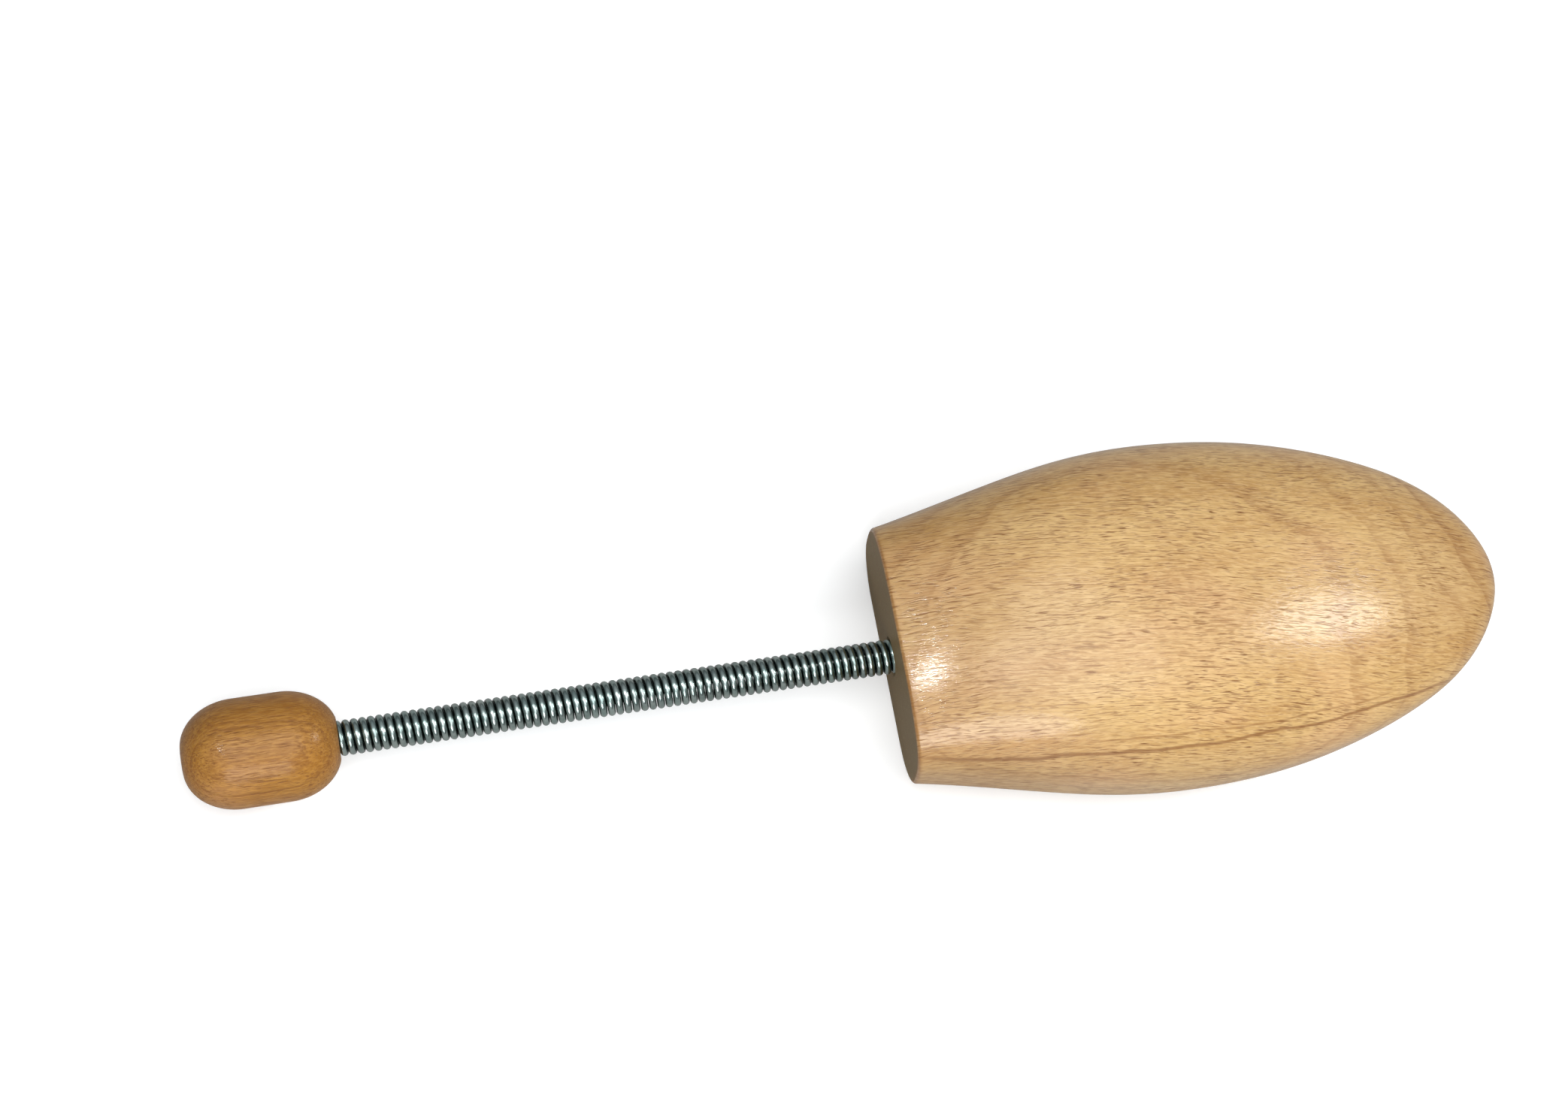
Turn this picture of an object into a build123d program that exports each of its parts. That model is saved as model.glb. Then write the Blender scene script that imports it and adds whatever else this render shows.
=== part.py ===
from build123d import *
import math
import os

# Spring shoe tree: a beech forefoot block, a close-wound coil spring and a
# beech heel knob.  Millimetres, +Z up.  The origin is on the flat sole, on the
# plane of symmetry, half way along the block.  +X points to the toe, so the
# spring and the knob run away towards -X.

# ------------------------------------------------------------ forefoot block
block_length = 133.5          # toe tip to the rear edge of the sole
nose_height = 12.5            # height of the toe tip above the sole plane
rear_lean = math.radians(5.2) # the rear face overhangs, its top towards the heel
rim_round = 1.3               # round-over along the rear rim
sole_round = 2.0              # round-over along the sole edge

# Stations along the block: distance back from the toe tip, half width,
# height of the widest line, height of the ridge.  The last one lies beyond
# the rear face, which is cut afterwards.
stations = [
    (0.25, 2.8, 12.5, 13.9),
    (1.0, 5.6, 12.5, 15.2),
    (2.6, 9.1, 12.6, 16.8),
    (5.5, 13.5, 12.8, 18.7),
    (10.0, 18.3, 13.0, 20.8),
    (17.0, 23.4, 13.2, 23.6),
    (27.0, 28.2, 13.4, 27.3),
    (40.0, 32.5, 13.6, 31.4),
    (55.0, 35.6, 13.8, 35.2),
    (70.0, 36.8, 14.0, 38.3),
    (84.0, 36.5, 14.1, 40.4),
    (97.0, 34.8, 14.2, 41.0),
    (110.0, 32.0, 14.2, 39.6),
    (122.0, 29.2, 14.2, 36.4),
    (133.5, 26.8, 14.2, 31.9),
    (143.5, 25.2, 14.2, 27.2),
]
points_per_station = 48
dome_power_toe = 2.2          # squareness of the dome above the widest line, at the toe
dome_power_rear = 3.0         # and at the rear face
belly_power = 2.7             # squareness of the side below the widest line
belly_sink = 2.6              # how far the belly curve runs below the sole plane
nose_run = 17.0               # length over which the nose comes down to the sole

# -------------------------------------------------------------------- spring
wire_diameter = 1.6
coil_pitch = 1.7
coil_outer_diameter = 7.3
coils_per_section = 4
section_count = 15
section_turns = 2.75          # turns of wire kept in each section, so that it can bend
hinge_room = 1.05             # distance from a hinge to the wire's centre at its end
front_turns = 17.5            # turns kept in the front end
rear_turns = 14.5             # turns kept in the rear end
stub = 6.0                    # spring outside the wood, before the first and after the last hinge
block_grip = 25.5             # length of spring inside the block
knob_grip = 20.4              # length of spring inside the knob

# --------------------------------------------------------------- blind bores
bore_height = 14.0            # height of the spring's centre at the rear face
bore_radius = 3.7
block_bore_depth = 27.0
knob_bore_depth = 22.0
mouth_chamfer = 0.5
drill_point = 2.2             # height of the cone left by the drill
bore_overrun = 1.0            # how far the cutter starts outside the wood

# ----------------------------------------------------------------- heel knob
knob_length = 31.4
knob_radius = 11.1
knob_flat_radius = 2.3        # flat disc left at each end of the knob
knob_end = 11.0               # length of each rounded end
knob_end_rise = knob_radius - knob_flat_radius

# ------------------------------------------------------------ derived values
coil_radius = (coil_outer_diameter - wire_diameter) / 2
section_length = coils_per_section * coil_pitch
reach = 2 * stub + section_count * section_length      # rear face to knob face
half_length = block_length / 2


def spring_slope():
    """Downward slope of the spring that rests the knob on the sole plane."""
    half_barrel = knob_length / 2 - knob_end
    slope = 0.0
    for _ in range(12):
        # the knob's centre height depends on the slope, so close in on it
        centre_height = (
            half_barrel * math.sin(slope)
            + knob_flat_radius * math.cos(slope)
            + math.hypot(knob_end_rise * math.cos(slope), knob_end * math.sin(slope))
        )
        slope = math.asin((bore_height - centre_height) / (reach + knob_length / 2))
    return slope


slope = spring_slope()
mouth = Vector(-half_length - bore_height * math.tan(rear_lean), 0, bore_height)
run = Vector(-math.cos(slope), 0, -math.sin(slope))   # along the spring, to the heel
lift = Vector(-math.sin(slope), 0, math.cos(slope))   # across it, upwards
side = Vector(0, 1, 0)                                # across it, sideways


def along(distance):
    """The point a distance beyond the rear face on the spring's centre line."""
    return mouth + run * distance


def bore_profile(depth, inward):
    """Half profile of a bore from its mouth; inward is its sign along run."""
    return [
        (-inward * bore_overrun, 0),
        (-inward * bore_overrun, bore_radius + mouth_chamfer + bore_overrun),
        (inward * mouth_chamfer, bore_radius),
        (inward * depth, bore_radius),
        (inward * (depth + drill_point), 0),
    ]


# ------------------------------------------------------------ forefoot block
def station_points(distance, half_width, widest_height, ridge_height):
    """Points round one upright section of the block, as (y, z)."""
    rise = ridge_height - widest_height
    nose_part = min(1.0, distance / nose_run)
    blend = nose_part * (2 - nose_part)
    drop = rise * (1 - blend) + (widest_height + belly_sink) * blend
    dome_growth = (distance / block_length) ** 2
    dome_power = dome_power_toe + (dome_power_rear - dome_power_toe) * dome_growth
    points = []
    for i in range(points_per_station):
        angle = 2 * math.pi * i / points_per_station
        across, up = math.cos(angle), math.sin(angle)
        power, height = (dome_power, rise) if up >= 0 else (belly_power, drop)
        y = half_width * math.copysign(abs(across) ** (2 / power), across)
        z = height * math.copysign(abs(up) ** (2 / power), up)
        points.append((y, widest_height + z))
    return points


def station_face(station):
    """One upright section of the block as a face."""
    plane = Plane(origin=(half_length - station[0], 0, 0), x_dir=(0, 1, 0), z_dir=(1, 0, 0))
    with BuildSketch(plane) as section:
        with BuildLine():
            Spline(*station_points(*station), periodic=True)
        make_face()
    return section.sketch.face()


def make_forefoot_block():
    """Loft from the toe tip, cut flat at the sole and the leaning rear, then bored."""
    faces = [station_face(station) for station in stations]
    rear_plane = Plane(
        origin=(-half_length, 0, 0),
        x_dir=(0, 1, 0),
        z_dir=(math.cos(rear_lean), 0, math.sin(rear_lean)),
    )
    with BuildPart() as block:
        loft(sections=[Vertex(half_length, 0, nose_height)] + faces)
        split(bisect_by=Plane.XY, keep=Keep.TOP)
        split(bisect_by=rear_plane, keep=Keep.TOP)

        with BuildSketch(Plane(origin=mouth, x_dir=run, z_dir=side)):
            with BuildLine():
                Polyline(*bore_profile(block_bore_depth, inward=-1), close=True)
            make_face()
        revolve(axis=Axis(mouth, run), mode=Mode.SUBTRACT)

        # round the sole all round except along its rearmost edge
        sole_edges = block.faces().filter_by(Plane.XY).sort_by(Axis.Z)[0].edges()
        fillet(sole_edges.sort_by(Axis.X)[1:], sole_round)
        # round the rear rim, leaving out the mouth of the bore
        rear_face = block.faces().sort_by(Axis.X)[0]
        rear_rim = rear_face.edges().filter_by(
            lambda edge: (edge.center() - mouth).length > 2 * bore_radius
        )
        fillet(rear_rim, rim_round)
    return block.part


# ----------------------------------------------------------------- heel knob
def make_heel_knob():
    """A turned barrel with rounded ends on the spring's centre line, blind bored."""
    knob_plane = Plane(origin=along(reach), x_dir=run, z_dir=side)
    knob_axis = Axis(along(reach), run)
    far_end = knob_length - knob_end
    with BuildPart() as knob:
        with BuildSketch(knob_plane):
            with BuildLine():
                Line((0, 0), (0, knob_flat_radius))
                EllipticalCenterArc(
                    (knob_end, knob_flat_radius), knob_end, knob_end_rise, 90, arc_size=90
                )
                Line((knob_end, knob_radius), (far_end, knob_radius))
                EllipticalCenterArc(
                    (far_end, knob_flat_radius), knob_end, knob_end_rise, 0, arc_size=90
                )
                Line((knob_length, knob_flat_radius), (knob_length, 0))
                Line((knob_length, 0), (0, 0))
            make_face()
        revolve(axis=knob_axis)

        with BuildSketch(knob_plane):
            with BuildLine():
                Polyline(*bore_profile(knob_bore_depth, inward=1), close=True)
            make_face()
        revolve(axis=knob_axis, mode=Mode.SUBTRACT)
    return knob.part


# --------------------------------------------------------------- coil spring
# One continuous winding, divided across its length so that it can bend.  Hinge
# 0 lies just outside the block and the last one just outside the knob; even
# hinges bend the spring up and down, odd hinges bend it sideways.  The wire of
# every section starts and stops on the axis of its hinge, a little short of it,
# so that neighbouring sections stay clear of each other as far as they travel.
def make_winding(length, turns):
    """A helical wire that starts at the origin plane and climbs +Z."""
    with BuildPart() as winding:
        with BuildLine() as wire_path:
            Helix(pitch=length / turns, height=length, radius=coil_radius)
        with BuildSketch(Plane(origin=wire_path.line @ 0, z_dir=wire_path.line % 0)):
            Circle(wire_diameter / 2)
        sweep(path=wire_path.line, is_frenet=True)
    return winding.part


def place_winding(winding, distance, degrees):
    """Set a winding on the spring's centre line, its start turned from upright."""
    angle = math.radians(degrees)
    start_direction = lift * math.cos(angle) + side * math.sin(angle)
    with BuildPart() as placed:
        with Locations(Plane(origin=along(distance), x_dir=start_direction, z_dir=run)):
            add(winding)
    return placed.part


def hinge_angle(hinge):
    """Degrees at which the wire meets a hinge: sideways at even ones, upright at odd."""
    return 90.0 - 90.0 * hinge


def make_spring():
    """The two ends and the sections between them, by name."""
    front = make_winding(block_grip + stub - hinge_room, front_turns)
    section = make_winding(section_length - 2 * hinge_room, section_turns)
    rear = make_winding(knob_grip + stub - hinge_room, rear_turns)

    # the front end is turned back by its own turns, to finish on hinge 0
    front_angle = hinge_angle(0) - 360 * front_turns
    pieces = {"spring_front_end": place_winding(front, -block_grip, front_angle)}
    for i in range(section_count):
        start = stub + i * section_length + hinge_room
        pieces[f"spring_section_{i + 1:02d}"] = place_winding(section, start, hinge_angle(i))
    pieces["spring_rear_end"] = place_winding(
        rear, reach - stub + hinge_room, hinge_angle(section_count)
    )
    return pieces


# -------------------------------------------------------------------- export
parts = {
    "forefoot_block": make_forefoot_block(),
    "heel_knob": make_heel_knob(),
    **make_spring(),
}
os.makedirs("parts", exist_ok=True)
for name, part in parts.items():
    part.label = name
    export_step(part, f"parts/{name}.step")
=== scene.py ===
# A spring shoe tree lying on the floor: a beech forefoot block with its toe at +X, a zinc-plated
# coil spring running back and slightly down from the bore in its rear face, and a beech heel
# knob at the -X end. X runs along the tree, Y across, Z up; the floor is z = 0.
import bmesh
import bpy
import math
import numpy as np
from mathutils import Matrix, Vector


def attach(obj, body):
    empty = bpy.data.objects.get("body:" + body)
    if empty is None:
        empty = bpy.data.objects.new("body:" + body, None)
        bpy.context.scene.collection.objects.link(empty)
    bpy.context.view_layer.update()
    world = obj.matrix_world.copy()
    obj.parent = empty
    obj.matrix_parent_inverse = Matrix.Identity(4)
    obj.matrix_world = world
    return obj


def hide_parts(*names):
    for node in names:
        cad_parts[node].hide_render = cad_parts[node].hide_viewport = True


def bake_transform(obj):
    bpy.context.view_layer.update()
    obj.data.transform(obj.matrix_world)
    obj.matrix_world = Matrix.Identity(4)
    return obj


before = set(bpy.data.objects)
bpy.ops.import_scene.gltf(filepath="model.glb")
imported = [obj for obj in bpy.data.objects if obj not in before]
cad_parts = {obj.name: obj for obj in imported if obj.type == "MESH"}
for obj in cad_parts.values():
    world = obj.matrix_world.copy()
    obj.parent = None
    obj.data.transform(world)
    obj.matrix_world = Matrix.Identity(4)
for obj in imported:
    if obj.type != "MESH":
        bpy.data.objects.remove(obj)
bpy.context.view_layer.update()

MM = 0.001      # shapes are worked out in millimetres, Blender holds metres

# ---- forefoot block ---------------------------------------------------------
BLOCK_L = 133.5
HALF = BLOCK_L / 2
LEAN = math.radians(5.2)            # lean of the rear face
BLOCK_SIDES, BLOCK_STEPS = 224, 176
RIM = 0.9                           # rounding round the rear face
DOME_TOE, DOME_REAR, BELLY = 2.2, 3.0, 2.7      # superellipse powers above and below
SINK, NOSE = 2.6, 17.0              # belly depth below the floor, length of the round nose
FLOOR_EASE = 1.5                    # height over which the skin eases into the flat sole
# distance from the toe, half width, height of the widest line, height of the ridge
STATIONS = np.array([
    (0.0, 0.0, 12.5, 12.5),
    (0.25, 2.8, 12.5, 13.9), (1.0, 5.6, 12.5, 15.2), (2.6, 9.1, 12.6, 16.8),
    (5.5, 13.5, 12.8, 18.7), (10.0, 18.3, 13.0, 20.8), (17.0, 23.4, 13.2, 23.6),
    (27.0, 28.2, 13.4, 27.3), (40.0, 32.5, 13.6, 31.4), (55.0, 35.6, 13.8, 35.2),
    (70.0, 36.8, 14.0, 38.3), (84.0, 36.5, 14.1, 40.4), (97.0, 34.8, 14.2, 41.0),
    (110.0, 32.0, 14.2, 39.6), (122.0, 29.2, 14.2, 36.4), (133.5, 26.8, 14.2, 31.9),
    (143.5, 25.2, 14.2, 27.2)])

# ---- bore, spring and knob --------------------------------------------------
BORE_Z, BORE_R = 14.0, 3.7
MOUTH_R = BORE_R + 0.55             # eased mouth of either bore
PITCH, WIRE_R, COIL_R = 1.7, 0.8, 2.85
WIRE_SIDES, STEPS_PER_TURN = 14, 40
STUB, SECTIONS, SECTION_L = 6.0, 15, 6.8
REACH = 2 * STUB + SECTIONS * SECTION_L         # bare spring between block and knob
WIRE_IN_BLOCK, WIRE_IN_KNOB = 25.3, 20.2
BLEND_HALF = 2.5                    # from a joint to each end of its blend
KNOB_L, KNOB_R = 31.4, 11.1
KNOB_FLAT, KNOB_END = 2.3, 11.0     # radius of the flat ends, length of the rounding
KNOB_ROUND = KNOB_R - KNOB_FLAT
KNOB_SIDES = 144


def droop_angle():
    """Slope of the spring that rests the knob on the floor."""
    half_barrel = KNOB_L / 2 - KNOB_END
    slope = 0.0
    for _ in range(12):
        centre_z = half_barrel * math.sin(slope) + KNOB_FLAT * math.cos(slope) + math.hypot(
            KNOB_ROUND * math.cos(slope), KNOB_END * math.sin(slope))
        slope = math.asin((BORE_Z - centre_z) / (REACH + KNOB_L / 2))
    return slope


SLOPE = droop_angle()
MOUTH = np.array([-HALF - BORE_Z * math.tan(LEAN), 0.0, BORE_Z])
RUN = np.array([-math.cos(SLOPE), 0.0, -math.sin(SLOPE)])
LIFT = np.array([-math.sin(SLOPE), 0.0, math.cos(SLOPE)])
ACROSS = np.cross(RUN, LIFT)


def along(distance):
    """Point on the spring's axis, measured from the bore's mouth towards the heel."""
    return MOUTH + RUN * distance


class RootSpline:
    """Natural cubic in the root of the distance, so that the nose stays round."""

    def __init__(self, x, y):
        self.root, self.y = np.sqrt(x), y
        self.gap = gap = np.diff(self.root)
        slope = np.diff(y) / gap
        count = len(x)
        matrix = np.zeros((count, count))
        right = np.zeros(count)
        matrix[0, 0] = matrix[-1, -1] = 1
        for i in range(1, count - 1):
            matrix[i, i - 1:i + 2] = gap[i - 1], 2 * (gap[i - 1] + gap[i]), gap[i]
            right[i] = 6 * (slope[i] - slope[i - 1])
        self.bend = np.linalg.solve(matrix, right)

    def __call__(self, x):
        root = np.sqrt(np.maximum(x, 0))
        i = np.clip(np.searchsorted(self.root, root) - 1, 0, len(self.gap) - 1)
        gap, after, before = self.gap[i], self.root[i + 1] - root, root - self.root[i]
        return (self.bend[i] * after ** 3 / (6 * gap) + self.bend[i + 1] * before ** 3 / (6 * gap)
                + (self.y[i] / gap - self.bend[i] * gap / 6) * after
                + (self.y[i + 1] / gap - self.bend[i + 1] * gap / 6) * before)


half_width, widest_z, ridge_z = (RootSpline(STATIONS[:, 0], STATIONS[:, i]) for i in (1, 2, 3))


def skin(distance, angle):
    """Point (y, z) of the block's skin before the sole is cut flat."""
    width = np.maximum(half_width(distance), 0)
    middle, top = widest_z(distance), ridge_z(distance)
    grown = np.minimum(1, distance / NOSE)
    grown = grown * (2 - grown)
    depth = (top - middle) * (1 - grown) + (middle + SINK) * grown
    c, s = np.cos(angle), np.sin(angle)
    upper = s >= 0
    dome = DOME_TOE + (DOME_REAR - DOME_TOE) * (distance / BLOCK_L) ** 2
    y = width * np.sign(c) * np.abs(c) ** np.where(upper, 2 / dome, 2 / BELLY)
    z = middle + np.where(upper, (top - middle) * np.abs(s) ** (2 / dome),
                          -depth * np.abs(s) ** (2 / BELLY))
    return y, z


def soft_floor(z):
    k = FLOOR_EASE
    return np.where(z > k, z, np.where(z < -k, 0.0, (z + k) ** 2 / (4 * k)))


def section_angles():
    """Angles that space the points about evenly round a section near the middle."""
    dense = np.linspace(0, 2 * math.pi, 4001)
    y, z = skin(np.full_like(dense, 90.0), dense)
    steps = np.hypot(np.diff(y), np.diff(z)) + 0.01
    travelled = np.concatenate([[0], np.cumsum(steps)])
    return np.interp(np.arange(BLOCK_SIDES) / BLOCK_SIDES * travelled[-1], travelled, dense)


def side_rings(angles):
    """Rings from the nose to the rear rim, leaning more and more with the rear face."""
    last = BLOCK_L - RIM
    places = np.linspace(0, math.sqrt(BLOCK_L), BLOCK_STEPS + 1)[1:] ** 2
    places = places[(places > 0.1) & (places < last - 0.8)]
    rings = []
    for place in np.concatenate([[0.02, 0.06], places, [last - 0.4, last]]):
        distance = np.full(BLOCK_SIDES, place)
        for _ in range(5):
            z = soft_floor(skin(distance, angles)[1])
            distance = place * (1 + z * math.tan(LEAN) / BLOCK_L)
        y, z = skin(distance, angles)
        rings.append(np.stack([HALF - distance, y, soft_floor(z)], 1))
    return rings


def rim_rings(base):
    """Quarter round from the side to the rear face."""
    rearward = np.array([-math.cos(LEAN), 0.0, -math.sin(LEAN)])
    outward = np.cross(np.roll(base, -1, 0) - np.roll(base, 1, 0), rearward)
    outward /= np.linalg.norm(outward, axis=1)[:, None]
    if np.mean(np.sum(outward * (base - base.mean(0)), 1)) < 0:
        outward = -outward
    centre = base - outward * RIM
    return [centre + outward * RIM * math.cos(a) + rearward * RIM * math.sin(a)
            for a in np.radians([15, 30, 45, 60, 75, 90])]


def bore_rings(face):
    """Rings over the rear face to the bore's mouth, then down the bore."""
    normal = np.cross(face[BLOCK_SIDES // 4] - face[0], face[BLOCK_SIDES // 2] - face[0])
    normal /= np.linalg.norm(normal)
    hole = MOUTH + RUN * (np.dot(face[0] - MOUTH, normal) / np.dot(RUN, normal))
    from_hole = face - hole
    angle = np.unwrap(np.arctan2(from_hole @ LIFT, from_hole @ ACROSS))
    spokes = np.cos(angle)[:, None] * ACROSS + np.sin(angle)[:, None] * LIFT
    # the mouth is slid along the bore until it lies in the face
    mouth = hole + MOUTH_R * spokes
    mouth = mouth - RUN * ((mouth - face[0]) @ normal / np.dot(RUN, normal))[:, None]
    rings = [face * (1 - f) + mouth * f for f in (0.03, 0.1, 0.25, 0.45, 0.65, 0.82, 0.93, 1.0)]
    # radius, depth
    for radius, depth in ((BORE_R + 0.16, 0.38), (BORE_R, 0.75), (BORE_R, 6.0),
                          (BORE_R, 27.0), (0.4, 29.0)):
        rings.append(hole + radius * spokes - RUN * depth)
    return rings


# ---- mesh helpers -----------------------------------------------------------
def add_object(name, data):
    ob = bpy.data.objects.new(name, data)
    bpy.context.scene.collection.objects.link(ob)
    return ob


def tube(name, rings, start_tip=None, end_tip=None):
    """Closed skin over equal rings; a tip point or a flat cap closes each end.

    Returns the object and, for each face, the index of the ring it starts from."""
    n = len(rings[0])
    verts = [tuple(point * MM) for ring in rings for point in ring]
    faces, face_rings = [], []
    for i in range(len(rings) - 1):
        a, b = i * n, (i + 1) * n
        for j in range(n):
            k = (j + 1) % n
            faces.append((a + j, a + k, b + k, b + j))
            face_rings.append(i)
    for i, tip, at_start in ((0, start_tip, True), (len(rings) - 1, end_tip, False)):
        a = i * n
        if tip is None:
            cap = tuple(range(a, a + n))
            faces.append(cap[::-1] if at_start else cap)
            face_rings.append(i)
            continue
        centre = len(verts)
        verts.append(tuple(np.asarray(tip) * MM))
        for j in range(n):
            k = (j + 1) % n
            faces.append((a + k, a + j, centre) if at_start else (a + j, a + k, centre))
            face_rings.append(i)
    mesh = bpy.data.meshes.new(name)
    mesh.from_pydata(verts, [], faces)
    mesh.validate()
    bm = bmesh.new()
    bm.from_mesh(mesh)
    bmesh.ops.recalc_face_normals(bm, faces=bm.faces)
    bm.to_mesh(mesh)
    bm.free()
    mesh.polygons.foreach_set("use_smooth", [True] * len(mesh.polygons))
    mesh.set_sharp_from_angle(angle=math.radians(35))
    return add_object(name, mesh), np.array(face_rings)


def two_woods(ob, side, end, is_end):
    ob.data.materials.append(side)
    ob.data.materials.append(end)
    ob.data.polygons.foreach_set("material_index", is_end.astype(np.int32))


def ring_attribute(ob, name, grid):
    """Store one value for each ring point; tip points get 0."""
    values = np.zeros(len(ob.data.vertices), np.float32)
    values[:grid.size] = grid.ravel()
    ob.data.attributes.new(name, "FLOAT", "POINT").data.foreach_set("value", values)


# ---- node helpers -----------------------------------------------------------
class Nodes:
    def __init__(self, tree):
        self.tree = tree

    def add(self, kind, inputs=(), **settings):
        """New node; inputs pairs a socket's name or index with a value or a socket to link."""
        node = self.tree.nodes.new(kind)
        for name, value in settings.items():
            setattr(node, name, value)
        for key, value in dict(inputs).items():
            if isinstance(value, bpy.types.NodeSocket):
                self.tree.links.new(value, node.inputs[key])
            else:
                node.inputs[key].default_value = value
        return node

    def math(self, operation, *values, clamp=False):
        return self.add("ShaderNodeMath", enumerate(values), operation=operation,
                        use_clamp=clamp).outputs[0]

    def plus(self, a, b):
        return self.math("ADD", a, b)

    def minus(self, a, b):
        return self.math("SUBTRACT", a, b)

    def times(self, a, b):
        return self.math("MULTIPLY", a, b)

    def vmath(self, operation, *values):
        return self.add("ShaderNodeVectorMath", enumerate(values), operation=operation).outputs[0]

    def millimetres(self):
        place = self.add("ShaderNodeTexCoord").outputs["Object"]
        return self.add("ShaderNodeVectorMath", {0: place, "Scale": 1000.0},
                        operation="SCALE").outputs[0]

    def stretch(self, vector, along, across):
        """Scale so that texture features get these sizes along X and across it."""
        return self.vmath("MULTIPLY", vector, (1 / along, 1 / across, 1 / across))

    def noise(self, vector, scale=1.0, detail=2.0, rough=0.5, output="Fac"):
        return self.add("ShaderNodeTexNoise", {
            "Vector": vector, "Scale": scale, "Detail": detail, "Roughness": rough,
        }).outputs[output]

    def voronoi(self, vector, scale=1.0):
        node = self.add("ShaderNodeTexVoronoi", {"Vector": vector, "Scale": scale})
        return node.outputs["Distance"], node.outputs["Color"]

    def step(self, value, edges, to=(0.0, 1.0)):
        """Smooth step from to[0] to to[1] as value goes from edges[0] to edges[1]."""
        return self.add("ShaderNodeMapRange", {
            "Value": value, "From Min": edges[0], "From Max": edges[1],
            "To Min": to[0], "To Max": to[1]}, interpolation_type="SMOOTHSTEP").outputs[0]

    def paint(self, under, over, mask, strength=None, clamp=False):
        if strength is not None:
            mask = self.math("MULTIPLY", mask, strength, clamp=clamp)
        # sockets 6 and 7 and output 2 are the colour ones
        return self.add("ShaderNodeMix", {"Factor": mask, 6: under, 7: over},
                        data_type="RGBA").outputs[2]

    def xyz(self, vector):
        return self.add("ShaderNodeSeparateXYZ", {0: vector}).outputs[:]

    def vec(self, x, y, z):
        return self.add("ShaderNodeCombineXYZ", enumerate((x, y, z))).outputs[0]

    def bump(self, height, distance, strength):
        return self.add("ShaderNodeBump", {
            "Height": height, "Distance": distance, "Strength": strength}).outputs[0]

    def attribute(self, name):
        return self.add("ShaderNodeAttribute", attribute_name=name).outputs["Fac"]

    def camera_ray(self):
        return self.add("ShaderNodeLightPath").outputs["Is Camera Ray"]

    def surface(self, **inputs):
        """Principled shader wired to the output; underscores stand for spaces."""
        shader = self.add("ShaderNodeBsdfPrincipled",
                          {key.replace("_", " "): value for key, value in inputs.items()})
        self.add("ShaderNodeOutputMaterial", {0: shader.outputs[0]})


def new_material(name):
    material = bpy.data.materials.new(name)
    material.use_nodes = True
    material.node_tree.nodes.clear()
    return material, Nodes(material.node_tree)


def rgb(*channels):
    """Linear colour from sRGB channels of 0 to 255."""
    def linear(c):
        c /= 255
        return c / 12.92 if c <= 0.04045 else ((c + 0.055) / 1.055) ** 2.4
    return (*map(linear, channels), 1.0)


# ---- beech: grain along X, short dark ray flecks, fine fibre, growth rings ---
# size along and across the grain, distance at the core and rim of a fleck, texture offset,
# share left out, strength
FLECKS = ((5.0, 0.55, 0.12, 0.27, 3.1, 0.30, 0.80),
          (3.0, 0.38, 0.14, 0.33, 11.7, 0.25, 0.62),
          (10.0, 1.2, 0.07, 0.17, 23.9, 0.45, 1.0))
# size along and across the grain, noise edges, strength
DASHES = ((4.0, 0.33, (0.58, 0.70), 0.92),
          (2.3, 0.23, (0.57, 0.72), 0.66),
          (15.0, 0.60, (0.66, 0.76), 0.95))
# y at x = -12, bend, half width, x where it starts and ends, strength
MINERAL_LINES = ((-31.3, 0.0022, 0.42, -78.0, 62.0, 0.66),
                 (-29.4, 0.0021, 0.28, -46.0, 44.0, 0.42),
                 (-26.0, 0.0016, 0.22, -10.0, 60.0, 0.26))
LINE_FADE = 22      # length over which a mineral line fades in or out
BLOCK_LOG = dict(origin=(0.0, 0.0, 0.0), pith=(10.0, -58.0), ring_step=4.6)
KNOB_LOG = dict(origin=(-196.0, 2.0, 4.0), pith=(-14.0, 36.0), ring_step=3.4)


def beech_space(m, origin):
    """Place in mm, slow sway, fine sway, and the place moved by both."""
    place = m.vmath("SUBTRACT", m.millimetres(), origin)
    sway, fine = (
        m.vmath("SUBTRACT", m.noise(m.stretch(place, along, across), output="Color"),
                (0.5, 0.5, 0.5))
        for along, across in ((38, 16), (7, 2.6)))
    wavy = m.vmath("ADD", place, m.vmath("MULTIPLY", sway, (0.0, 3.6, 3.6)))
    wavy = m.vmath("ADD", wavy, m.vmath("MULTIPLY", fine, (0.0, 0.22, 0.22)))
    return place, sway, fine, wavy


def along_skin(m, sway, fine):
    """Grain laid on the skin: distance along the block, distance round it from the ridge."""
    u, v, _ = m.xyz(m.add("ShaderNodeUVMap", uv_map="grain").outputs[0])
    sway_y, fine_y = m.xyz(sway)[1], m.xyz(fine)[1]
    v = m.plus(m.times(v, 1000.0), m.plus(m.times(sway_y, 3.4), m.times(fine_y, 0.7)))
    v = m.minus(v, m.times(u, 115.0))       # slant of the grain, mm per metre
    return m.vec(m.times(u, 1000.0), v, 0.0)


def growth_rings(m, place, y, z, pith, ring_step):
    """Late wood mask, radius from the pith, and y and z from the pith."""
    y = m.minus(y, pith[0])
    z = m.minus(z, pith[1])
    radius = m.math("SQRT", m.plus(m.times(y, y), m.times(z, z)))
    uneven = m.noise(m.stretch(place, along=70, across=30), detail=1.0)
    radius = m.plus(radius, m.times(m.minus(uneven, 0.5), 10.0))
    phase = m.math("DIVIDE", radius, ring_step)
    year = m.math("FRACT", phase)
    late = m.times(m.step(year, edges=(0.62, 0.97)), m.step(year, edges=(1.0, 0.955)))
    band = m.noise(m.vec(m.times(phase, 0.8), 0.0, 0.0), detail=1.0)
    late = m.times(late, m.step(band, edges=(0.35, 0.7), to=(0.15, 1.0)))
    return late, radius, y, z


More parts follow.
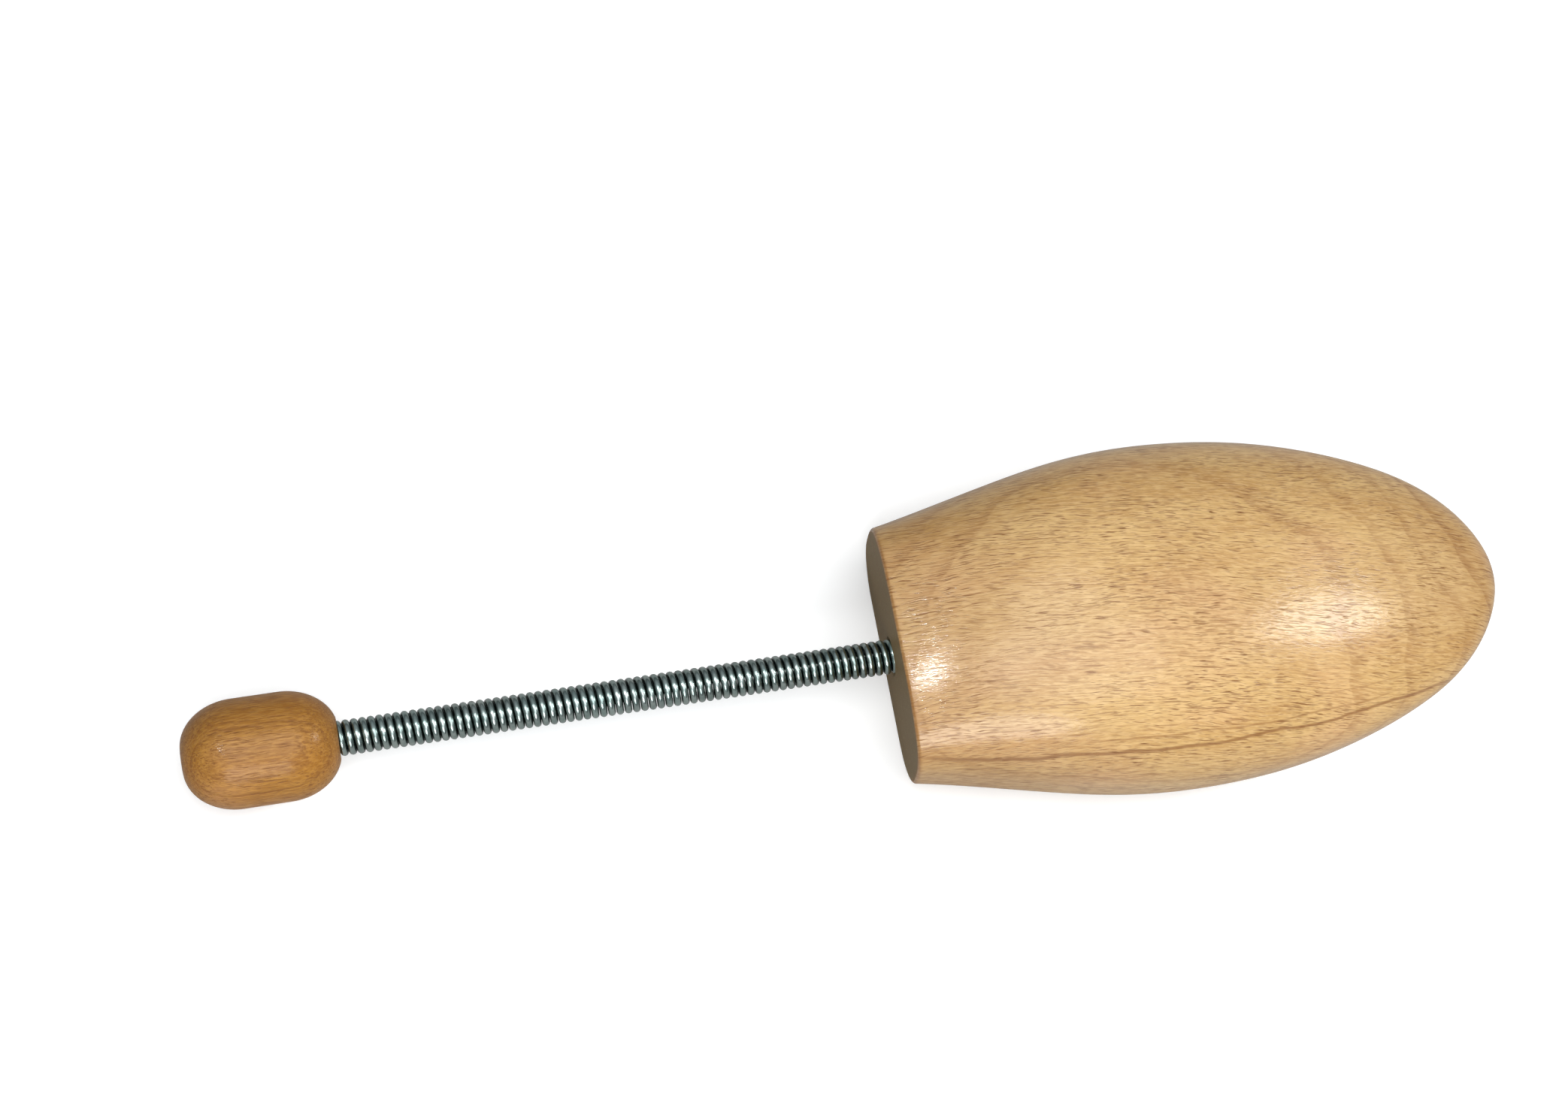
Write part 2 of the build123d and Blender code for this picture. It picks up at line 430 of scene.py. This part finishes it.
def ray_flecks(m, place, fine, grain):
    """Spindles and broken dashes along the grain, in patches; the largest spindles everywhere."""
    spindles = []
    for along, across, core, rim, seed, left_out, strength in FLECKS:
        shifted = m.vmath("ADD", grain, (seed, seed * 1.7, seed * 0.6))
        distance, cell = m.voronoi(m.stretch(shifted, along, across))
        kept = m.step(m.xyz(cell)[0], edges=(left_out, left_out + 0.35))
        spindle = m.times(m.step(distance, edges=(rim, core)), kept)
        spindles.append(m.times(spindle, strength))
    skewed = m.vmath("ADD", grain, m.vmath("MULTIPLY", fine, (0.0, 0.16, 0.16)))
    dashes = []
    for along, across, edges, strength in DASHES:
        streak = m.noise(m.stretch(skewed, along, across), detail=1.0)
        dashes.append(m.times(m.step(streak, edges), strength))
    patch = m.step(m.noise(m.stretch(place, along=22, across=9)),
                   edges=(0.32, 0.62), to=(0.5, 1.0))
    dash = m.math("MAXIMUM", m.plus(dashes[0], dashes[1]), dashes[2])
    fleck = m.math("MAXIMUM", m.math("MAXIMUM", spindles[0], spindles[1]), dash)
    return m.math("MAXIMUM", m.times(fleck, patch), spindles[2])


def block_shade_and_mineral_lines(m, colour, deep, place, wavy_x):
    """Painted shade darkening the heel and toe ends, and thin dark lines low on the -Y flank."""
    x = m.xyz(place)[0]
    # painted shade: colour darkened towards the heel and toe ends, where the top slopes away from
    # the light
    painted_end_shade = m.plus(m.step(x, edges=(-22.0, -64.0), to=(0.0, 0.26)),
                 m.step(x, edges=(30.0, 66.0), to=(0.0, 0.26)))
    colour = m.paint(colour, deep, painted_end_shade)
    x, y, _ = m.xyz(place)
    for line_y, bend, width, start, end, strength in MINERAL_LINES:
        wander = m.noise(m.vec(m.times(wavy_x, 1 / 16), line_y, 0.0), detail=3.0)
        bent = m.plus(y, m.times(m.minus(wander, 0.5), 1.8))
        centred = m.plus(x, 12.0)
        bent = m.minus(bent, m.times(m.times(centred, centred), bend))
        off = m.math("ABSOLUTE", m.minus(bent, line_y))
        fade = m.times(m.step(wavy_x, edges=(start, start + LINE_FADE)),
                       m.step(wavy_x, edges=(end, end - LINE_FADE)))
        line = m.times(m.step(off, edges=(width, width * 0.2)), fade)
        colour = m.paint(colour, rgb(124, 74, 28), line, strength)
    return colour


def lacquered(m, place, colour, height, fleck, roughness, coat, gloss):
    """Warm dark edges under a thin, slightly rippled lacquer: worn colour on the rear rim, painted
    shade round the knob's bore mouth.
    """
    wear_and_mouth_shade = m.step(m.noise(place, scale=0.35), edges=(0.3, 0.6), to=(0.25, 0.75))
    # warm dark edge colour: wear on the block's rear rim, painted shade at the knob's bore mouth
    colour = m.paint(colour, rgb(150, 100, 44), m.attribute("edge"), wear_and_mouth_shade)
    ripple = m.noise(m.vmath("MULTIPLY", place, (0.75, 1.5, 1.5)), detail=3.0, rough=0.6)
    ripple = m.minus(ripple, m.times(fleck, 0.35))
    m.surface(Base_Color=colour, Roughness=roughness, Specular_IOR_Level=gloss,
              Normal=m.bump(height, distance=0.00010, strength=0.7),
              Coat_Weight=coat, Coat_Roughness=0.11,
              Coat_Normal=m.bump(ripple, distance=0.00006, strength=0.7))


def beech(name, light, mid, deep, bright, origin, pith, ring_step, coat, gloss, on_block=False):
    material, m = new_material(name)
    place, sway, fine, wavy = beech_space(m, origin)
    x, y, z = m.xyz(wavy)
    grain = along_skin(m, sway, fine) if on_block else wavy
    late = growth_rings(m, place, y, z, pith, ring_step)[0]
    fleck = ray_flecks(m, place, fine, grain)
    fibre = m.noise(m.stretch(grain, along=9, across=0.34), detail=3.0, rough=0.6)
    pale = m.noise(m.stretch(grain, along=3.0, across=0.5), rough=0.6)
    tone = m.noise(m.stretch(wavy, along=55, across=9), detail=3.0, rough=0.55)
    shifted = m.vmath("ADD", place, (41.0, 7.0, 3.0))
    pink = m.noise(m.stretch(shifted, along=34, across=17))

    colour = m.paint(mid, light, m.step(tone, edges=(0.3, 0.7)))
    colour = m.paint(colour, rgb(214, 164, 124), m.step(pink, edges=(0.46, 0.72)), strength=0.30)
    colour = m.paint(colour, deep, late, strength=0.72)
    colour = m.paint(colour, deep, m.step(fibre, edges=(0.38, 0.70), to=(0.0, 0.42)))
    colour = m.paint(colour, bright, m.step(pale, edges=(0.58, 0.34), to=(0.0, 0.45)))
    colour = m.paint(colour, rgb(122, 74, 26), fleck, strength=0.84, clamp=True)
    if on_block:
        colour = block_shade_and_mineral_lines(m, colour, deep, place, x)
    # fibres stand up; flecks and late wood lie lower
    height = m.minus(m.times(fibre, 0.5), m.times(fleck, 0.9))
    height = m.minus(height, m.times(late, 0.25))
    roughness = m.plus(m.plus(m.times(fibre, 0.16), 0.36), m.times(fleck, 0.18))
    smudge = m.noise(place, scale=0.045, detail=3.0)
    lacquered(m, place, colour, height, fleck, roughness,
              coat=m.step(smudge, edges=(0.3, 0.7), to=coat), gloss=gloss)
    return material


def beech_end_grain(name, light, mid, deep, origin, pith, ring_step):
    material, m = new_material(name)
    place, _, fine, wavy = beech_space(m, origin)
    _, y, z = m.xyz(wavy)
    late, radius, y, z = growth_rings(m, place, y, z, pith, ring_step)
    fleck = ray_flecks(m, place, fine, wavy)
    pores, _ = m.voronoi(m.vmath("MULTIPLY", place, (0.3, 1.0, 1.0)), scale=3.2)
    spots = m.step(pores, edges=(0.30, 0.10))
    # rays run out from the pith: fine in angle, long in radius
    rays = m.noise(m.vec(m.times(m.math("ARCTAN2", y, z), 160.0), m.times(radius, 0.5), 0.0))
    colour = m.paint(mid, deep, 0.55)
    colour = m.paint(colour, rgb(126, 84, 46), late, strength=0.45)
    colour = m.paint(colour, light, m.step(rays, edges=(0.58, 0.75), to=(0.0, 0.4)))
    colour = m.paint(colour, rgb(96, 62, 32), spots, strength=0.45)
    lacquered(m, place, colour, m.times(spots, -0.6), fleck, roughness=0.62, coat=0.12, gloss=0.42)
    return material


def zinc_wire():
    """Zinc plate, blotched and faintly green, with painted shade between the turns."""
    material, m = new_material("zinc_plated_wire")
    place = m.millimetres()
    blot = m.noise(place, scale=0.35, detail=3.0)
    tint = m.noise(m.vmath("ADD", place, (9.0, 2.0, 5.0)), scale=0.12)
    drawn = m.noise(place, scale=6.0, detail=3.0, rough=0.7)
    colour = m.paint((0.25, 0.32, 0.305, 1), (0.41, 0.48, 0.46, 1),
                     m.step(blot, edges=(0.3, 0.7)))
    colour = m.paint(colour, (0.30, 0.44, 0.42, 1),
                     m.step(tint, edges=(0.42, 0.72), to=(0.0, 0.35)))
    # painted shade: the wire darkens away from its outer crest, as if shaded between the turns
    colour = m.paint(colour, (0.055, 0.08, 0.072, 1),
                     m.step(m.attribute("crest"), edges=(0.95, 0.45)), strength=0.82)
    m.surface(Base_Color=colour, Metallic=1.0, Roughness=m.plus(m.times(drawn, 0.14), 0.17),
              Normal=m.bump(m.plus(drawn, blot), distance=0.00002, strength=0.5))
    return material


WOOD = beech("beech_block", light=rgb(210, 173, 113), mid=rgb(194, 152, 91),
             deep=rgb(150, 102, 48), bright=rgb(226, 190, 134),
             coat=(0.50, 0.72), gloss=0.42, on_block=True, **BLOCK_LOG)
END = beech_end_grain("beech_end_grain", light=rgb(160, 136, 84), mid=rgb(140, 116, 67),
                      deep=rgb(108, 84, 43), **BLOCK_LOG)
KNOB = beech("beech_knob", light=rgb(168, 118, 46), mid=rgb(152, 100, 34),
             deep=rgb(118, 71, 20), bright=rgb(188, 137, 64),
             coat=(0.14, 0.24), gloss=0.28, **KNOB_LOG)
ZINC = zinc_wire()


# ---- pieces -----------------------------------------------------------------
def lay_grain(block, rings, angles):
    """UV map in metres: x along the block, and girth from the ridge or, on the sole, y."""
    sides = len(angles)
    ridge = int(np.argmin(np.abs(angles - math.pi / 2)))
    girth, full = np.zeros((len(rings), sides)), np.zeros(len(rings))
    for i, ring in enumerate(rings):
        steps = np.linalg.norm(np.roll(ring, -1, 0) - ring, axis=1)
        full[i] = steps.sum()
        travelled = np.concatenate([[0], np.cumsum(np.roll(steps, -ridge))])
        girth[i] = np.roll(travelled[:-1], ridge)
    layer = block.data.uv_layers.new(name="grain")
    uv = np.zeros((len(block.data.loops), 2), np.float32)
    for poly in block.data.polygons:
        if max(poly.vertices) >= len(rings) * sides:        # touches a tip point
            for loop, vertex in zip(poly.loop_indices, poly.vertices):
                uv[loop] = block.data.vertices[vertex].co[:2]
            continue
        spots = [divmod(vertex, sides) for vertex in poly.vertices]
        sole = all(rings[i][j][2] < 0.35 for i, j in spots)
        # girth grows from the ridge down the -Y side; the +Y side counts back below zero
        turns = [girth[i][j] / full[i] for i, j in spots if girth[i][j] > 1e-9]
        minus_y = sum(turns) < 0.5 * max(1, len(turns))
        for loop, (i, j) in zip(poly.loop_indices, spots):
            v = girth[i][j]
            if sole:
                v = rings[i][j][1]
            elif not minus_y and v > 1e-9:
                v -= full[i]
            uv[loop] = (rings[i][j][0] * MM, v * MM)
    layer.data.foreach_set("uv", uv.ravel())


def build_block():
    angles = section_angles()
    rings = side_rings(angles)
    rings += rim_rings(rings[-1])
    side_count = len(rings)
    rings += bore_rings(rings[-1])
    block, face_rings = tube("forefoot_block_wood", rings, start_tip=(HALF, 0, STATIONS[0, 2]),
                             end_tip=along(-29.3))
    two_woods(block, WOOD, END, face_rings >= side_count - 2)
    # wear peaks on the rear rim and is weaker near the floor
    edge_darkening = np.zeros((len(rings), BLOCK_SIDES), np.float32)
    rim_wear = np.array([0.15, 0.4, 0.8, 1.0, 1.0, 0.8, 0.5])
    edge_darkening[side_count - len(rim_wear):side_count] = rim_wear[:, None]
    edge_darkening[np.array(rings)[:, :, 2] < 0.6] *= 0.3
    ring_attribute(block, "edge", edge_darkening)
    lay_grain(block, rings, angles)
    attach(block, "forefoot")
    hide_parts("forefoot_block")


def knob_profile():
    """(distance, radius) from the far end over the outside and into the bore, and the index
    of the bore's mouth."""
    profile = [(KNOB_L, 1.0)]
    for a in np.linspace(0, math.pi / 2, 26):
        profile.append((KNOB_L - KNOB_END + KNOB_END * math.cos(a),
                        KNOB_FLAT + KNOB_ROUND * math.sin(a)))
    for a in np.linspace(math.pi / 2, 0, 26):
        radius = KNOB_FLAT + KNOB_ROUND * math.sin(a)
        if radius > BORE_R + 0.62:
            profile.append((KNOB_END - KNOB_END * math.cos(a), radius))
    mouth = KNOB_END - KNOB_END * math.sqrt(1 - ((MOUTH_R - KNOB_FLAT) / KNOB_ROUND) ** 2)
    bore = [(mouth, MOUTH_R), (mouth + 0.12, BORE_R + 0.3), (mouth + 0.5, BORE_R),
            (8.0, BORE_R), (22.0, BORE_R), (23.8, 0.3)]
    return profile + bore, len(profile)


def build_knob():
    profile, mouth = knob_profile()
    angle = np.linspace(0, 2 * math.pi, KNOB_SIDES, endpoint=False)
    spokes = np.cos(angle)[:, None] * LIFT + np.sin(angle)[:, None] * ACROSS
    rings = [along(REACH + distance) + radius * spokes for distance, radius in profile]
    knob, face_rings = tube("heel_knob_wood", rings, start_tip=along(REACH + KNOB_L),
                            end_tip=along(REACH + 24.0))
    two_woods(knob, KNOB, END, face_rings >= mouth + 1)
    edge_darkening = np.zeros((len(rings), KNOB_SIDES))
    # painted shade: the rim of the bore's mouth is darkened where the spring goes in
    edge_darkening[mouth - 1:mouth + 2] = 0.9
    ring_attribute(knob, "edge", edge_darkening)
    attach(knob, "heel")
    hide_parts("heel_knob")


def winding(name, start, end):
    """Coiled wire between two distances along the axis; "crest" is 1 on its outer side."""
    count = int(round((end - start) / PITCH * STEPS_PER_TURN))
    around = 2 * math.pi * np.arange(WIRE_SIDES) / WIRE_SIDES
    advance = PITCH / (2 * math.pi)
    rings = []
    for i in range(count + 1):
        distance = start + (end - start) * i / count
        turn = 2 * math.pi * distance / PITCH
        outward = math.cos(turn) * LIFT + math.sin(turn) * ACROSS
        tangent = COIL_R * (-math.sin(turn) * LIFT + math.cos(turn) * ACROSS) + advance * RUN
        tangent /= np.linalg.norm(tangent)
        sideways = np.cross(tangent, outward)
        centre = along(distance) + COIL_R * outward
        rings.append(centre + WIRE_R * (np.cos(around)[:, None] * outward
                                        + np.sin(around)[:, None] * sideways))
    wire, _ = tube(name, rings)
    ring_attribute(wire, "crest", np.tile(np.cos(around), len(rings)))
    wire.data.materials.append(ZINC)
    return wire


def build_spring():
    bodies = ["forefoot"] + [f"coil_{i:02d}" for i in range(1, SECTIONS + 1)] + ["heel"]
    first = STUB - SECTION_L / 2
    front = winding("spring_wire_front", -WIRE_IN_BLOCK, first)
    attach(front, "forefoot")
    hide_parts("spring_front_end")
    for k in range(SECTIONS + 1):
        joint = STUB + k * SECTION_L
        wire = winding(f"spring_wire_{k + 1:02d}", joint - SECTION_L / 2, joint + SECTION_L / 2)
        ends = [(bodies[k], tuple(along(joint - BLEND_HALF) * MM)),
                (bodies[k + 1], tuple(along(joint + BLEND_HALF) * MM))]
        if k == 8:      # at all_min this pair only solves cleanly when named from the heel side
            ends.reverse()
        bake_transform(wire)
        if k < SECTIONS:
            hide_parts(f"spring_section_{k + 1:02d}")
    rear = winding("spring_wire_rear", REACH - first, REACH + WIRE_IN_KNOB)
    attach(rear, "heel")
    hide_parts("spring_rear_end")


# ---- stage, light, camera ---------------------------------------------------
def build_floor():
    """Pale floor that looks brighter to the camera than the light it bounces."""
    mesh = bpy.data.meshes.new("floor")
    mesh.from_pydata([(-6, -6, 0), (6, -6, 0), (6, 6, 0), (-6, 6, 0)], [], [(0, 1, 2, 3)])
    floor = add_object("floor", mesh)
    material, m = new_material("pale_floor")
    speckle = m.noise(m.add("ShaderNodeTexCoord").outputs["Object"], scale=60.0, detail=3.0)
    seen = m.camera_ray()
    pale = m.paint((0.90, 0.90, 0.895, 1), (0.92, 0.92, 0.915, 1),
                   m.step(speckle, edges=(0.3, 0.7)))
    m.surface(Base_Color=m.paint((0.42, 0.41, 0.40, 1), pale, seen), Roughness=0.9,
              Specular_IOR_Level=0.1, Emission_Color=(1, 1, 1, 1),
              Emission_Strength=m.times(seen, 0.24))
    mesh.materials.append(material)


def area(name, position, target, size, power):
    light = bpy.data.lights.new(name, "AREA")
    light.shape = "DISK"
    light.size = size
    light.energy = power
    ob = add_object(name, light)
    ob.location = position
    ob.rotation_euler = (Vector(target) - Vector(position)).to_track_quat("-Z", "Y").to_euler()
    return ob


def build_lights():
    """A small lamp that only glints, a window at +X, a soft ceiling and a fill from -Y."""
    glint = area("high_left", position=(-0.625, 0.06, 0.93), target=(-0.06, 0, 0.03),
                 size=0.05, power=2.7)
    glint.visible_diffuse = False
    area("right", position=(0.80, 0.02, 0.68), target=(0.02, 0, 0.03), size=0.26, power=2.6)
    area("overhead", position=(0.02, -0.20, 1.5), target=(-0.03, 0, 0), size=1.5, power=15.0)
    area("viewer_side", position=(-0.35, -0.95, 0.62), target=(-0.05, 0, 0.02),
         size=0.7, power=7.0)


def build_world():
    """A room with a pale ceiling, darker round the horizon; the camera sees plain white."""
    world = bpy.context.scene.world or bpy.data.worlds.new("studio")
    bpy.context.scene.world = world
    world.use_nodes = True
    tree = world.node_tree
    background = tree.nodes.get("Background") or tree.nodes.new("ShaderNodeBackground")
    m = Nodes(tree)
    incoming = m.add("ShaderNodeNewGeometry").outputs["Incoming"]
    ramp = m.add("ShaderNodeValToRGB", {0: m.math("ABSOLUTE", m.xyz(incoming)[2])})
    horizon, ceiling = ramp.color_ramp.elements
    horizon.position = 0.05
    horizon.color = (0.20, 0.22, 0.23, 1)
    ceiling.position = 0.75
    ceiling.color = (0.92, 0.96, 1.0, 1)
    seen = m.paint(ramp.outputs[0], (2.0, 2.0, 2.0, 1), m.camera_ray())
    tree.links.new(seen, background.inputs["Color"])
    background.inputs["Strength"].default_value = 0.50


def build_camera():
    data = bpy.data.cameras.new("camera")
    data.sensor_width = 36.0
    data.lens = 64.132119
    right = (0.9742870123, -0.1798896649, 0.1356632819)
    up = (0.1316305827, 0.9431270062, 0.3052619203)
    back = (-0.1828611695, -0.2795552874, 0.9425553745)
    pose = Matrix((right, up, back)).transposed().to_4x4()
    pose.translation = (-0.1926128600, -0.1365929773, 0.5641159778)
    camera = add_object("camera", data)
    camera.matrix_world = pose
    bpy.context.scene.camera = camera
    bpy.context.scene.view_settings.view_transform = "Standard"


build_block()
build_knob()
build_spring()
build_floor()
build_lights()
build_world()
build_camera()
